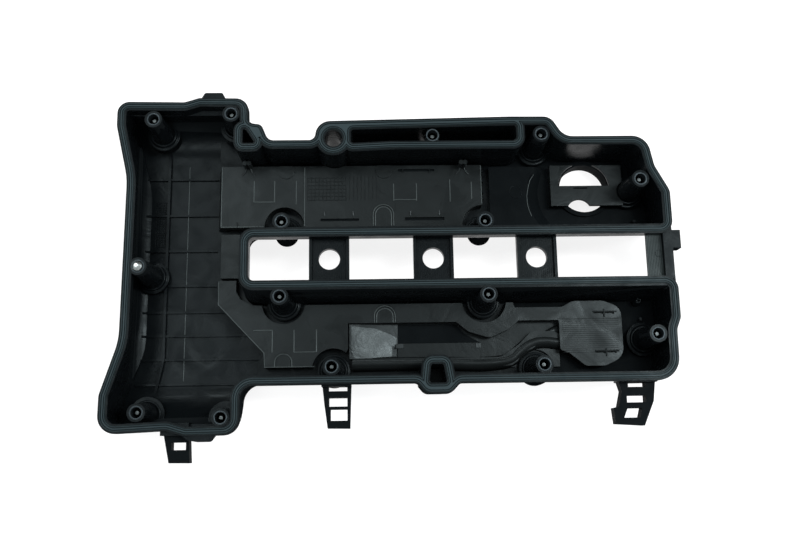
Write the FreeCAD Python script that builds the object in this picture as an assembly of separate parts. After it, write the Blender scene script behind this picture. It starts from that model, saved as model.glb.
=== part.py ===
import FreeCAD, Part
import math
import os
from FreeCAD import Matrix, Vector

# Valve cover of a small four cylinder engine, lying on its roof with the open side up.
# Millimetres. The origin is the middle web hole, on the face of the webs.
# +X runs along the engine away from the timing end, +Z points out of the open side.
# Depths are measured down from the sealing plane of the rim.

# Driving dimensions of the whole cover
CYLINDER_PITCH = 78.0
SEALING_HEIGHT = 10.0
WALL = 3.0
BAND = 6.8
LIP_DEPTH = 1.2
FLANGE_DEPTH = 7.0
ROOF_DEPTH = 44.0
TIMING_DROP = 7.0
TIMING_DEPTH = ROOF_DEPTH + TIMING_DROP
BREATHER_RISE = 6.0
BREATHER_CAP_HEIGHT = 5.0
BREATHER_SEAT_DEPTH = ROOF_DEPTH + BREATHER_RISE
REST_DEPTH = BREATHER_SEAT_DEPTH + BREATHER_CAP_HEIGHT
CLEARANCE = 0.4

# Rim outline: corner x, corner y, corner radius, clockwise from the timing end
RIM_UPPER = [
    (-238.2, 122.6, 9.0), (-187.5, 121.8, 8.0), (-176.5, 125.2, 6.0), (-139.3, 124.6, 10.0),
    (-138.6, 104.8, 4.0), (-129.0, 103.4, 5.0), (-123.8, 90.8, 6.0), (-88.4, 90.8, 5.0),
    (-87.4, 105.8, 11.5), (60.0, 108.6, 40.0), (92.0, 108.4, 10.0), (102.0, 92.4, 12.0),
    (165.5, 92.4, 14.0), (170.0, 68.5, 14.0), (180.4, 48.5, 9.0),
]
RIM_LOWER = [
    (181.0, -48.5, 8.0), (177.6, -57.0, 10.0), (177.2, -94.4, 17.0), (16.8, -94.2, 4.0),
    (9.8, -101.6, 8.5), (-8.2, -101.6, 8.5), (-14.6, -93.8, 4.0), (-141.6, -93.8, 9.0),
    (-141.4, -128.4, 12.0), (-180.0, -128.8, 6.0), (-193.0, -124.8, 6.0), (-241.8, -126.8, 13.0),
    (-241.6, -99.0, 14.0), (-229.2, -60.0, 50.0), (-228.6, 62.0, 60.0), (-238.0, 103.0, 20.0),
]

# Ignition valley between the two cam chambers
VALLEY_LEFT = -137.2
VALLEY_TOP = 15.4
VALLEY_BOTTOM = -17.2
VALLEY_RADIUS = 4.0
END_CORNER_R = 10.0
VALLEY_FLARE = 9.6
VALLEY_END_FLARE = 6.0
OPEN_END = 200.0

# Webs across the valley
WEB_THICK = 3.0
WEB_WIDTH = 30.0
WEB_HOLE_R = 8.0
WEB_RIB_WIDTH = 2.2
WEB_RIB_HEIGHT = 3.0
END_WEB_LEFT = 161.2
END_BAR_LEFT = 172.6
END_BAR_RIGHT = 179.6
END_BAR_DEPTH = 2.0

# Timing chamber: the walls lean out below the rim and curve into the roof
TIMING_RIGHT = -134.0
TIMING_STEP = -167.0
TIMING_TOP = 115.0
TIMING_BOTTOM = -120.0
TIMING_LEFT = -231.0
TIMING_LEAN_START = -223.0
TIMING_TOP_R = 28.0
TIMING_BOTTOM_R = 38.0
TIMING_LEFT_R = 12.0
TIMING_LEAN_R = 20.0
TIMING_LEAN_HEIGHT = 17.0
STEP_Y = -22.0
SLANT_Y = -64.0
FAR_LEFT = -260.0
FAR_SIDE = 140.0
RIB_WIDTH = 1.6
RIB_HEIGHT = 2.0
CROSS_RIBS = [75.0, 45.0, 16.0, -12.0, -33.0, -51.5, -70.0, -89.0]
LONG_RIB_X = -208.0
LONG_RIB_HEIGHT = 3.0

# Pockets inside the rim, each ringed by its own seal
DOWEL_X = -74.4
DOWEL_Y = 92.0
DOWEL_R = 6.6
TRIANGLE = [(-143.2, 100.6, 1.0), (-140.2, 98.8, 1.0), (-133.8, 88.8, 1.0), (-143.2, 88.8, 1.0)]
TRAPEZOID = [(-4.0, -80.2, 1.5), (4.9, -80.2, 1.5), (7.2, -93.6, 1.5), (-5.6, -93.6, 1.5)]
LONG_POCKET = [
    (-61.0, 98.9, 2.0), (60.0, 101.4, 40.0), (65.3, 101.4, 2.0), (65.3, 89.6, 3.0),
    (-30.0, 89.6, 30.0), (-61.0, 88.2, 2.0),
]
POCKET_ROOF = 6.0
POCKET_DEPTH = ROOF_DEPTH - POCKET_ROOF

# Rubber gasket in its groove
GROOVE_LIP = 1.0
GROOVE_INNER = 5.8
GROOVE_DEPTH = 4.7

# Bolt bosses
BOSSES = [
    (-210.7, 108.1), (-152.2, 112.3), (-214.5, -111.6), (-155.0, -116.0), (-113.3, 27.4),
    (-114.2, -29.1), (-76.1, -81.0), (39.2, 26.8), (39.7, -29.3), (78.4, -81.5),
    (84.5, 94.3), (1.1, 93.9), (158.5, 58.0), (163.2, -60.2),
]
END_BOSS = (-217.8, -5.6)
BOSS_TOP_DEPTH = 0.6
BOSS_TOP_R = 6.5
BOSS_FOOT_R = 9.2
BOSS_COLLAR_R = 12.8
BOSS_COLLAR_HEIGHT = 5.0
SEAT_HEIGHT = 14.0
SEAT_DEPTH = ROOF_DEPTH - SEAT_HEIGHT
WELL_R = 6.8
SLEEVE_R = 5.0
SLEEVE_BORE_R = 3.9
BOLT_R = 3.5
BOLT_TIP_R = 1.3
BOLT_TIP_LENGTH = 3.0
BOLT_TIP_DEPTH = 4.4
END_BOLT_TIP_DEPTH = -4.0
BOLT_FLANGE_R = 6.4
BOLT_FLANGE_THICK = 1.6
BOLT_HEAD_R = 5.2
BOLT_HEAD_HEIGHT = 5.6
SEAL_THICK = 2.0
SEAL_R = 6.6
SEAL_BORE_R = 3.6

# Tabs on the rim, plain lug at the end and harness clips on the lower edge
TAB_DEPTH = 2.0
TABS = [
    [(-177.5, 121.0, 0), (-172.5, 129.6, 2.0), (-159.2, 129.6, 2.0), (-154.5, 121.0, 0)],
    [(-187.0, -124.0, 0), (-178.1, -131.5, 5.0), (-171.0, -132.8, 3.0), (-161.8, -132.8, 2.5),
     (-155.0, -124.0, 0)],
]
LUG = [(174.0, 6.0, 0), (174.0, 17.0, 0), (187.5, 17.0, 1.0), (187.5, 6.0, 1.0)]
LUG_LOW = 5.1
LUG_HIGH = 18.9
CLIP_TOP = 9.0
CLIP_ROOT_TOP = 5.0
CLIP_FOOT = 18.0
CLIP_PLATES = [
    [(-197.3, -122.0), (-192.2, -147.2), (-177.3, -147.5), (-178.8, -122.0)],
    [(-83.5, -90.0), (-81.6, -108.0), (-79.3, -124.8), (-63.1, -125.1), (-62.0, -90.0)],
    [(132.4, -90.0), (135.6, -101.5), (132.8, -112.6), (128.9, -113.4), (130.0, -125.0), (150.9, -126.4),
     (158.7, -108.6), (161.2, -90.0)],
]
CLIP_HOLES = [
    [(-190.6, -138.1), (-190.6, -132.9), (-180.2, -132.9), (-180.2, -138.1)],
    [(-78.6, -98.2), (-78.6, -95.0), (-65.0, -95.0), (-65.0, -98.2)],
    [(-78.4, -109.2), (-78.4, -103.0), (-65.0, -103.0), (-65.0, -109.2)],
    [(-77.3, -119.3), (-77.3, -111.3), (-65.0, -111.3), (-65.0, -119.3)],
    [(140.4, -98.4), (140.4, -95.4), (153.6, -95.4), (153.6, -98.4)],
    [(139.0, -109.6), (139.0, -104.6), (153.2, -104.6), (153.2, -109.6)],
    [(139.0, -113.8), (149.8, -113.8), (148.0, -120.5), (136.2, -120.5)],
]
CLIP_ROOTS = [(-198.0, -128.0, -178.0, -119.0), (-83.6, -95.0, -62.0, -88.0), (132.4, -95.0, 161.2, -88.0)]

# Two feet under the timing chamber
FOOT_PLACES = [(-196.0, -60.0), (-196.0, 60.0)]
FOOT_LENGTH = 40.0
FOOT_WIDTH = 16.0

# Oil filler
FILLER_X = 124.6
FILLER_Y = 62.5
FILLER_R = 19.5
FILLER_NECK_R = 23.0
FILLER_COLLAR_HEIGHT = 2.0
FILLER_COLLAR_DEPTH = ROOF_DEPTH - FILLER_COLLAR_HEIGHT
GUARD_HEIGHT = 9.0
GUARD_DEPTH = ROOF_DEPTH - GUARD_HEIGHT
DECK_HEIGHT = 6.0
DECK_DEPTH = ROOF_DEPTH - DECK_HEIGHT
BOWL_Y = FILLER_Y - 4.0
DECK = (48.0, 30.0, 100.0, 80.0)
BOWL_TOP_R = 46.5
BOWL_FOOT_R = 37.0
GUARD_THICK = 2.5
GUARD = (96.5, 46.5, 154.0, 80.0)
GUARD_FOOT = 2.5
GUARD_FOOT_LENGTH = 4.0
GUARD_VIEW_R = 20.5
GUARD_VIEW_X = FILLER_X - 1.5
GUARD_VIEW_Y = FILLER_Y - 1.5
GUARD_VIEW_LOW = 63.0
GUARD_BITE = (118.8, 41.8, 9.7)
GUARD_NOTCH = (115.0, 60.5, 126.0, 61.5)

# Baffles
BAFFLE_HEIGHT = 12.0
BAFFLE_DEPTH = ROOF_DEPTH - BAFFLE_HEIGHT
BAFFLE_THICK = 2.5
SKIRT = 2.0
PRINT_DEPTH = 0.9
ARCH_LINE = 1.8
UPPER_BAFFLE = (-163.5, 30.5, 41.0, 80.0)
UPPER_BITES = [(-114.0, 31.0, 15.5), (41.0, 31.0, 16.0)]
UPPER_SLOTS = [(-86.0, 35.0, -56.0, 37.0), (-20.0, 35.0, 11.0, 37.5), (-25.0, 75.0, 4.0, 77.0)]
UPPER_ARCH = (-36.8, 28.0, 17.0, 20.5)
UPPER_STEP_X = -99.0
PAD_PLACES = [(-113.0, 76.0), (-36.0, 76.0)]
PAD_R = 6.5
TOE_REACH = 3.3
END_BAFFLE = (-163.0, -9.5, -148.5, 25.5)
END_BAFFLE_DROP = 1.5
LOWER_LEFT_PLATE = [
    (-164.0, -30.0), (-164.0, -11.5), (-150.5, -11.5), (-150.5, -20.0), (-147.0, -26.0), (-138.0, -31.0),
    (-65.0, -31.0), (-65.0, -65.0), (-72.0, -78.5), (-128.0, -78.5), (-128.5, -67.5),
]
LOWER_STRIP = (-70.0, -45.5, 18.0, -31.0)
LOWER_AROUND = [
    (10.0, -31.0, 0), (62.0, -31.0, 0), (66.0, -45.0, 3.0), (57.0, -52.0, 8.0), (43.0, -58.0, 8.0),
    (27.0, -53.0, 8.0), (18.0, -45.5, 4.0), (10.0, -45.5, 0),
]
LOWER_ROUND_END = [
    (56.0, -35.0, 0), (100.0, -35.0, 6.0), (108.0, -30.5, 8.0), (132.0, -30.5, 10.0), (145.5, -36.0, 10.0),
    (145.5, -74.0, 12.0), (131.0, -80.5, 5.0), (116.0, -80.5, 5.0), (104.0, -70.5, 2.0), (97.0, -68.0, 2.0),
    (97.0, -45.0, 2.0), (56.0, -45.0, 0),
]
LOWER_BITES = [(-114.2, -29.1, 16.5), (-76.3, -80.5, 16.0), (39.7, -29.3, 17.0), (78.4, -81.5, 15.0)]
LOWER_SLOTS = [(124.0, -41.0, 140.0, -39.2), (124.0, -71.4, 140.0, -69.6)]
LOWER_ARCH = (-36.8, -47.0, 17.0, 15.5)
LOWER_SIDE_ARCH = (-114.0, -82.0, 14.0, 14.5)
LOWER_STEP = (96.0, -44.6, 145.0, -44.0)
CHANNEL = (-64.0, -80.0, 98.0, -44.0)
LEDGE = (-27.0, -73.0, 36.0, -61.0)
RAMP = (-64.0, -72.5, -27.0, -46.0)
CHANNEL_THICK = 3.0
LEDGE_HEIGHT = 6.0
RIDGE_HEIGHT = 8.0
RAMP_LEFT_HEIGHT = 9.0
RAMP_RIGHT_HEIGHT = 4.0
CHANNEL_SINK = 2.0
RAMP_SINK = 1.0
RIDGE = [
    (-62.0, -72.5, 2.0), (52.0, -72.5, 10.0), (66.0, -63.0, 8.0), (76.0, -53.0, 8.0), (97.5, -53.0, 4.0),
    (97.5, -60.0, 1.0), (84.0, -60.0, 6.0), (72.0, -70.0, 6.0), (60.0, -79.0, 6.0), (-62.0, -79.0, 1.0),
]

# Breather on the roof
BREATHER_X = 120.0
BREATHER_Y = -57.0
BREATHER_SEAT_R = 23.0
BREATHER_RECESS_R = 19.0
BREATHER_PORT_R = 6.0
BREATHER_RECESS = 4.0
BREATHER_CAP_WALL = 2.0
SPRING_LOW_R = 12.0
SPRING_HIGH_R = 9.0
SPRING_THICK = 0.8
DIAPHRAGM_THICK = 1.4


def at(depth):
    """Height of a depth below the sealing plane."""
    return SEALING_HEIGHT - depth


def rounded(corners):
    """Face whose outline runs straight between corners, each rounded by a tangent arc."""
    ends = []
    count = len(corners)
    for index in range(count):
        x, y, radius = corners[index]
        here = Vector(x, y, 0)
        before = Vector(corners[index - 1][0], corners[index - 1][1], 0) - here
        after = Vector(corners[(index + 1) % count][0], corners[(index + 1) % count][1], 0) - here
        if radius == 0:
            ends.append((here, here, here))
            continue
        before.normalize()
        after.normalize()
        half = before.getAngle(after) / 2
        middle = before + after
        middle.normalize()
        reach = radius / math.tan(half)
        centre = here + middle * (radius / math.sin(half))
        ends.append((here + before * reach, centre - middle * radius, here + after * reach))
    edges = []
    for index in range(count):
        start, bend, stop = ends[index]
        following = ends[(index + 1) % count][0]
        if (stop - start).Length > 1e-4:
            edges.append(Part.Arc(start, bend, stop).toShape())
        if (following - stop).Length > 1e-4:
            edges.append(Part.LineSegment(stop, following).toShape())
    return Part.Face(Part.Wire(edges))


def polygon(points):
    """Face with sharp corners."""
    return rounded([(x, y, 0) for x, y in points])


def rectangle(left, bottom, right, top):
    """Face of a plain rectangle."""
    return polygon([(left, bottom), (left, top), (right, top), (right, bottom)])


def disc(x, y, radius):
    """Round face."""
    return Part.Face(Part.Wire(Part.Circle(Vector(x, y, 0), Vector(0, 0, 1), radius).toShape()))


def slab(face, top, bottom):
    """Solid between two depths."""
    solids = [item.extrude(Vector(0, 0, bottom - top)) for item in face.Faces]
    solid = solids[0]
    if len(solids) > 1:
        solid = solid.fuse(solids[1:]).removeSplitter()
    solid.translate(Vector(0, 0, at(bottom)))
    return solid


def block(left, low, right, high, top, bottom):
    """Box between two depths."""
    return slab(rectangle(left, low, right, high), top, bottom)


def post(x, y, radius, top, bottom):
    """Round bar between two depths."""
    return slab(disc(x, y, radius), top, bottom)


def taper(x, y, top_radius, top, bottom_radius, bottom):
    """Cone between two depths."""
    return Part.makeCone(bottom_radius, top_radius, bottom - top, Vector(x, y, at(bottom)))


def along_x(corners, start, stop):
    """Solid whose section in y and depth is given, running along x."""
    face = rounded([(y, at(depth), radius) for y, depth, radius in corners])
    face.transformShape(Matrix(0, 0, 1, 0, 1, 0, 0, 0, 0, 1, 0, 0, 0, 0, 0, 1))
    solid = face.extrude(Vector(stop - start, 0, 0))
    solid.translate(Vector(start, 0, 0))
    return solid


def along_y(corners, start, stop):
    """Solid whose section in x and depth is given, running along y."""
    face = rounded([(x, at(depth), radius) for x, depth, radius in corners])
    face.transformShape(Matrix(1, 0, 0, 0, 0, 0, -1, 0, 0, 1, 0, 0, 0, 0, 0, 1))
    solid = face.extrude(Vector(0, stop - start, 0))
    solid.translate(Vector(0, start, 0))
    return solid


def joined(shapes):
    """One solid from several that touch."""
    first = shapes[0]
    return first.fuse(shapes[1:]).removeSplitter()


def valley(grow_top, grow_bottom, start, stop):
    """Flared trough of the ignition valley, open at the right."""
    sections = []
    for grow, depth in ((grow_top, start), (grow_bottom, stop)):
        corners = [
            (VALLEY_LEFT - grow[0], VALLEY_BOTTOM - grow[1], VALLEY_RADIUS + min(grow)),
            (VALLEY_LEFT - grow[0], VALLEY_TOP + grow[1], VALLEY_RADIUS + min(grow)),
            (OPEN_END, VALLEY_TOP + grow[1], 0),
            (OPEN_END, VALLEY_BOTTOM - grow[1], 0),
        ]
        wire = rounded(corners).OuterWire
        wire.translate(Vector(0, 0, at(depth)))
        sections.append(wire)
    return Part.makeLoft(sections, True, True)


def skirt_ring(shape, width):
    """Outer border of a flat shape, taken from its largest face."""
    face = max(shape.Faces, key=lambda item: item.Area)
    return face.cut(face.makeOffset2D(-width))


def boss_places():
    """All bolt bosses."""
    return BOSSES + [END_BOSS]


SEALED_OUTLINE = RIM_UPPER + [
    (180.4, VALLEY_TOP, END_CORNER_R), (VALLEY_LEFT, VALLEY_TOP, VALLEY_RADIUS),
    (VALLEY_LEFT, VALLEY_BOTTOM, VALLEY_RADIUS), (181.0, VALLEY_BOTTOM, END_CORNER_R),
] + RIM_LOWER

SEALED = rounded(SEALED_OUTLINE)
FULL = rounded(RIM_UPPER + RIM_LOWER)
POCKETS = [rounded(TRIANGLE), rounded(TRAPEZOID), rounded(LONG_POCKET), disc(DOWEL_X, DOWEL_Y, DOWEL_R)]


def groove_face():
    """Plan of the groove round the rim and round every pocket."""
    ring = SEALED.makeOffset2D(-GROOVE_LIP).cut(SEALED.makeOffset2D(-GROOVE_INNER))
    rings = [pocket.makeOffset2D(GROOVE_INNER) for pocket in POCKETS]
    inside = SEALED.makeOffset2D(-GROOVE_LIP)
    face = ring.fuse([item.common(inside) for item in rings]).removeSplitter()
    lips = [pocket.makeOffset2D(GROOVE_LIP) for pocket in POCKETS]
    return face.cut(lips)


def timing_plan(grow):
    """Plan that limits the deep timing chamber, stepped and slanted on the cylinder side."""
    return polygon([
        (FAR_LEFT, FAR_SIDE), (TIMING_STEP + grow, FAR_SIDE), (TIMING_STEP + grow, STEP_Y),
        (TIMING_RIGHT + grow, SLANT_Y), (TIMING_RIGHT + grow, -FAR_SIDE), (FAR_LEFT, -FAR_SIDE),
    ])


def outside_body():
    """Everything inside the outer skin, before the chambers are hollowed."""
    skin = WALL
    wall_face = FULL.makeOffset2D(WALL - BAND)
    timing_face = timing_plan(skin)
    shallow = slab(wall_face, FLANGE_DEPTH - 1, ROOF_DEPTH + skin)
    deep = slab(wall_face.common(timing_face), FLANGE_DEPTH - 1, TIMING_DEPTH + skin)
    lean = along_y([
        (TIMING_LEAN_START - skin, 6, 0),
        (TIMING_LEFT - skin, TIMING_DEPTH - TIMING_LEAN_HEIGHT, TIMING_LEAN_R),
        (TIMING_LEFT - skin, TIMING_DEPTH + skin, TIMING_LEFT_R + skin),
        (-200, TIMING_DEPTH + skin, 0), (-200, 6, 0),
    ], -112, 104)
    timing_section = along_x([
        (TIMING_BOTTOM - 12, -2, 0), (TIMING_BOTTOM - 12, 8, 0), (TIMING_BOTTOM - skin, 12, 0),
        (TIMING_BOTTOM - skin, TIMING_DEPTH + skin, TIMING_BOTTOM_R + skin),
        (TIMING_TOP + skin, TIMING_DEPTH + skin, TIMING_TOP_R + skin),
        (TIMING_TOP + skin, 12, 0), (TIMING_TOP + 12, 8, 0), (TIMING_TOP + 12, -2, 0),
    ], -260, TIMING_RIGHT)
    cam_section = along_x([
        (-100, -2, 0), (-100, 12, 0), (-90.2, 14, 0), (-90.2, ROOF_DEPTH + skin, 7),
        (104.6, ROOF_DEPTH + skin, 7), (104.6, 14, 0), (112, 12, 0), (112, -2, 0),
    ], TIMING_RIGHT, 260)
    body = joined([shallow, deep, lean])
    left = body.common(timing_section)
    right = body.common(cam_section)
    return joined([left, right])


def chambers():
    """Hollow of the two cam chambers and of the timing chamber."""
    plan = SEALED.makeOffset2D(-BAND)
    timing_face = timing_plan(0)
    shallow = slab(plan, -2, ROOF_DEPTH)
    deep = slab(plan.common(timing_face), -2, TIMING_DEPTH)
    lean = along_y([
        (TIMING_LEAN_START, 8, 0), (TIMING_LEFT, TIMING_DEPTH - TIMING_LEAN_HEIGHT, TIMING_LEAN_R),
        (TIMING_LEFT, TIMING_DEPTH, TIMING_LEFT_R), (-200, TIMING_DEPTH, 0), (-200, 8, 0),
    ], -108, 100)
    timing_section = along_x([
        (TIMING_BOTTOM - 12, -4, 0), (TIMING_BOTTOM - 12, 8, 0), (TIMING_BOTTOM, 12, 0),
        (TIMING_BOTTOM, TIMING_DEPTH, TIMING_BOTTOM_R), (TIMING_TOP, TIMING_DEPTH, TIMING_TOP_R),
        (TIMING_TOP, 12, 0), (TIMING_TOP + 12, 8, 0), (TIMING_TOP + 12, -4, 0),
    ], -260, TIMING_RIGHT)
    hollow = joined([shallow, deep, lean])
    left = hollow.common(timing_section)
    cam_section = along_x([
        (-100, -4, 0), (-100, 10, 0), (-87.2, 10, 0), (-87.2, 60, 0), (112, 60, 0), (112, -4, 0),
    ], TIMING_RIGHT, 260)
    right = hollow.common(cam_section)
    both = joined([left, right])
    wall_start = (BAND, BAND)
    wall_stop = (VALLEY_END_FLARE + WALL, VALLEY_FLARE + WALL)
    return both.cut(valley(wall_start, wall_stop, -3, ROOF_DEPTH + 1))


def webs():
    """Four webs and the end bar across the valley."""
    solids = []
    low = VALLEY_BOTTOM - 2
    high = VALLEY_TOP + 2
    for step in (-1, 0, 1):
        x = step * CYLINDER_PITCH
        half = WEB_WIDTH / 2
        web = block(x - half, low, x + half, high, SEALING_HEIGHT, SEALING_HEIGHT + WEB_THICK)
        rib_top = SEALING_HEIGHT - WEB_RIB_HEIGHT
        rib_left = block(x - half, low, x - half + WEB_RIB_WIDTH, high, rib_top, SEALING_HEIGHT)
        rib_right = block(x + half - WEB_RIB_WIDTH, low, x + half, high, rib_top, SEALING_HEIGHT)
        boss = post(x, 0, WEB_HOLE_R + 2.5, SEALING_HEIGHT, SEALING_HEIGHT + WEB_THICK + 2)
        hole = post(x, 0, WEB_HOLE_R, SEALING_HEIGHT - 5, SEALING_HEIGHT + 10)
        solids.append(joined([web, rib_left, rib_right, boss]).cut(hole))
    end_top = SEALING_HEIGHT - WEB_RIB_HEIGHT
    solids.append(block(END_WEB_LEFT, low, END_BAR_LEFT + 1, high, end_top, end_top + WEB_THICK))
    solids.append(block(END_BAR_LEFT, low, END_BAR_RIGHT, high, END_BAR_DEPTH, end_top + WEB_THICK + 4))
    return solids


def roof_depth(x, y):
    """Depth of the roof's inner face at a boss."""
    timing = x < TIMING_STEP or (x < TIMING_RIGHT and y < SLANT_Y)
    depth = TIMING_DEPTH if timing else ROOF_DEPTH
    top_start = TIMING_TOP - TIMING_TOP_R
    bottom_start = TIMING_BOTTOM + TIMING_BOTTOM_R
    if x < TIMING_RIGHT and y > top_start:
        curve = TIMING_DEPTH - TIMING_TOP_R + math.sqrt(TIMING_TOP_R ** 2 - (y - top_start) ** 2)
        depth = min(depth, curve)
    if x < TIMING_RIGHT and y < bottom_start:
        curve = TIMING_DEPTH - TIMING_BOTTOM_R + math.sqrt(TIMING_BOTTOM_R ** 2 - (y - bottom_start) ** 2)
        depth = min(depth, curve)
    return depth


def columns(envelope, trough):
    """Tapered boss columns with a stepped collar at the roof."""
    solids = []
    for x, y in boss_places():
        floor = roof_depth(x, y)
        cone = taper(x, y, BOSS_TOP_R, BOSS_TOP_DEPTH, BOSS_FOOT_R, ROOF_DEPTH + WALL)
        collar = post(x, y, BOSS_COLLAR_R, floor - BOSS_COLLAR_HEIGHT, floor + WALL)
        column = cone.fuse(collar.cut(trough))
        if x < TIMING_RIGHT:
            column = column.common(envelope)
        solids.append(column)
    return solids


def wells():
    """Bolt wells from the outside and sleeve bores."""
    cuts = []
    for x, y in boss_places():
        cuts.append(post(x, y, WELL_R, SEAT_DEPTH, TIMING_DEPTH + 12))
        cuts.append(post(x, y, SLEEVE_R, -2, SEAT_DEPTH + 1))
    return cuts


def pocket_blocks():
    """Solid rings of plastic round the pockets."""
    inside = FULL.makeOffset2D(-2)
    depths = [ROOF_DEPTH + 1, ROOF_DEPTH + 1, ROOF_DEPTH + 1, ROOF_DEPTH + WALL]
    solids = []
    for face, depth in zip(POCKETS, depths):
        solids.append(slab(face.makeOffset2D(BAND).common(inside), LIP_DEPTH, depth))
    return solids


def pocket_holes():
    """Hollows of the pockets; the dowel hole goes right through."""
    depths = [POCKET_DEPTH, POCKET_DEPTH, ROOF_DEPTH, ROOF_DEPTH + 20]
    return [slab(face, -2, depth) for face, depth in zip(POCKETS, depths)]


def timing_ribs():
    """Low stiffening ribs on the roof of the timing chamber."""
    solids = []
    for y in CROSS_RIBS:
        right = TIMING_STEP + 1
        if y < STEP_Y:
            right += (STEP_Y - y) * (TIMING_RIGHT - TIMING_STEP) / (STEP_Y - SLANT_Y)
        right = min(right, TIMING_RIGHT + 1)
        solids.append(block(TIMING_LEFT + 2, y - RIB_WIDTH / 2, right, y + RIB_WIDTH / 2,
                            TIMING_DEPTH - RIB_HEIGHT, TIMING_DEPTH + 1))
    half = RIB_WIDTH / 2 + 0.2
    long_rib = polygon([
        (LONG_RIB_X - half, 96), (LONG_RIB_X + half, 96), (LONG_RIB_X + half, -70),
        (LONG_RIB_X - 6 + half, -100), (LONG_RIB_X - 6 - half, -100), (LONG_RIB_X - half, -70),
    ])
    solids.append(slab(long_rib, TIMING_DEPTH - LONG_RIB_HEIGHT, TIMING_DEPTH + 1))
    return solids


def clips():
    """Three harness clips on the lower edge."""
    holes = [polygon(points) for points in CLIP_HOLES]
    plates = [slab(polygon(points).cut(holes), CLIP_TOP, CLIP_FOOT) for points in CLIP_PLATES]
    roots = [slab(rectangle(*root), CLIP_ROOT_TOP, CLIP_FOOT) for root in CLIP_ROOTS]
    return plates + roots


def cover_shell():
    """The one piece moulding."""
    flange = slab(SEALED, LIP_DEPTH, FLANGE_DEPTH)
    tabs = [slab(rounded(tab), TAB_DEPTH, FLANGE_DEPTH) for tab in TABS]
    body = outside_body()
    envelope = joined([body, slab(FULL, 0, FLANGE_DEPTH)])
    shell = joined([body, slab(FULL, LIP_DEPTH + 4, FLANGE_DEPTH), flange] + tabs)
    trough = valley((0, 0), (VALLEY_END_FLARE, VALLEY_FLARE), SEALING_HEIGHT, ROOF_DEPTH + 4)
    shell = shell.cut([chambers(), trough, valley((0, 0), (0, 0), -2, SEALING_HEIGHT + 0.5)])
    additions = webs() + columns(envelope, trough) + pocket_blocks() + timing_ribs() + clips()
    additions.append(post(FILLER_X, FILLER_Y, FILLER_NECK_R, FILLER_COLLAR_DEPTH, REST_DEPTH))
    additions.append(post(BREATHER_X, BREATHER_Y, BREATHER_SEAT_R, ROOF_DEPTH, BREATHER_SEAT_DEPTH))
    bowl = taper(FILLER_X, BOWL_Y, BOWL_TOP_R, DECK_DEPTH - 0.01, BOWL_FOOT_R, ROOF_DEPTH)
    additions.append(slab(rectangle(*DECK), DECK_DEPTH, ROOF_DEPTH + 1).cut(bowl))
    for x, y in FOOT_PLACES:
        left = x - FOOT_LENGTH / 2
        low = y - FOOT_WIDTH / 2
        right = x + FOOT_LENGTH / 2
        high = y + FOOT_WIDTH / 2
        foot = rounded([(left, low, 3), (left, high, 3), (right, high, 3), (right, low, 3)])
        additions.append(slab(foot, TIMING_DEPTH + 1, REST_DEPTH))
    additions.append(along_y(LUG, LUG_LOW, LUG_HIGH))
    shell = joined([shell] + additions)
    groove = slab(groove_face(), -2, GROOVE_DEPTH)
    cuts = wells() + pocket_holes() + [groove]
    cuts.append(post(FILLER_X, FILLER_Y, FILLER_R, 20, REST_DEPTH + 5))
    recess_floor = BREATHER_SEAT_DEPTH - BREATHER_RECESS
    cuts.append(post(BREATHER_X, BREATHER_Y, BREATHER_RECESS_R, recess_floor, REST_DEPTH))
    cuts.append(post(BREATHER_X, BREATHER_Y, BREATHER_PORT_R, ROOF_DEPTH - 4, recess_floor + 1))
    return shell.cut(cuts).removeSplitter()


def head_gasket():
    """Rubber seal filling the groove, its crest on the sealing plane."""
    return slab(groove_face(), 0, GROOVE_DEPTH)


def skirted(face, depth, thick):
    """Baffle plate with a skirt down to the roof."""
    plate = slab(face, depth, depth + thick)
    return joined([plate, slab(skirt_ring(face, SKIRT), depth, ROOF_DEPTH)])


def arch(x, low, width, height):
    """Upright U shape, round at the top."""
    half = width / 2
    return rectangle(x - half, low, x + half, low + height - half).fuse(disc(x, low + height - half, half))


def printed(face, depth):
    """Cut that leaves a shallow line in the top of a baffle."""
    return slab(face, BAFFLE_DEPTH - 1, BAFFLE_DEPTH + depth)


def arch_line(place):
    """Shallow line round an arch given by its centre x, foot y, width and height."""
    x, low, width, height = place
    inner = arch(x, low - 1, width - 2 * ARCH_LINE, height + 1 - ARCH_LINE)
    return printed(arch(x, low, width, height).cut(inner), PRINT_DEPTH)


def slot_cuts(slots):
    """Slots that stop half a millimetre short of the underside."""
    return [printed(rectangle(*slot), BAFFLE_THICK - 0.5) for slot in slots]


def upper_baffle():
    """Oil baffle over the upper cam chamber roof, with skirts down to the roof."""
    left, low, right, high = UPPER_BAFFLE
    bites = [disc(*bite) for bite in UPPER_BITES]
    bites.append(disc(DOWEL_X, DOWEL_Y, DOWEL_R + BAND + CLEARANCE))
    face = rectangle(left, low, right, high).cut(bites)
    body = skirted(face, BAFFLE_DEPTH, BAFFLE_THICK)
    cuts = slot_cuts(UPPER_SLOTS) + [arch_line(UPPER_ARCH)]
    cuts.append(printed(rectangle(UPPER_STEP_X, low, UPPER_STEP_X + 0.7, high), 0.6))
    body = body.cut(cuts)
    inside = slab(rectangle(left, low, right, high), 0, REST_DEPTH)
    pads = [post(x, y, PAD_R, BAFFLE_DEPTH - 0.8, BAFFLE_DEPTH + 1).common(inside) for x, y in PAD_PLACES]
    toe = along_y([(left, BAFFLE_DEPTH, 0), (left, ROOF_DEPTH, 0), (left - TOE_REACH, ROOF_DEPTH, 0)],
                  low, high - 1)
    return joined([body, toe] + pads)


def end_baffle():
    """Low plate at the timing end of the valley."""
    return skirted(rectangle(*END_BAFFLE), BAFFLE_DEPTH + END_BAFFLE_DROP, BAFFLE_THICK)


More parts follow.
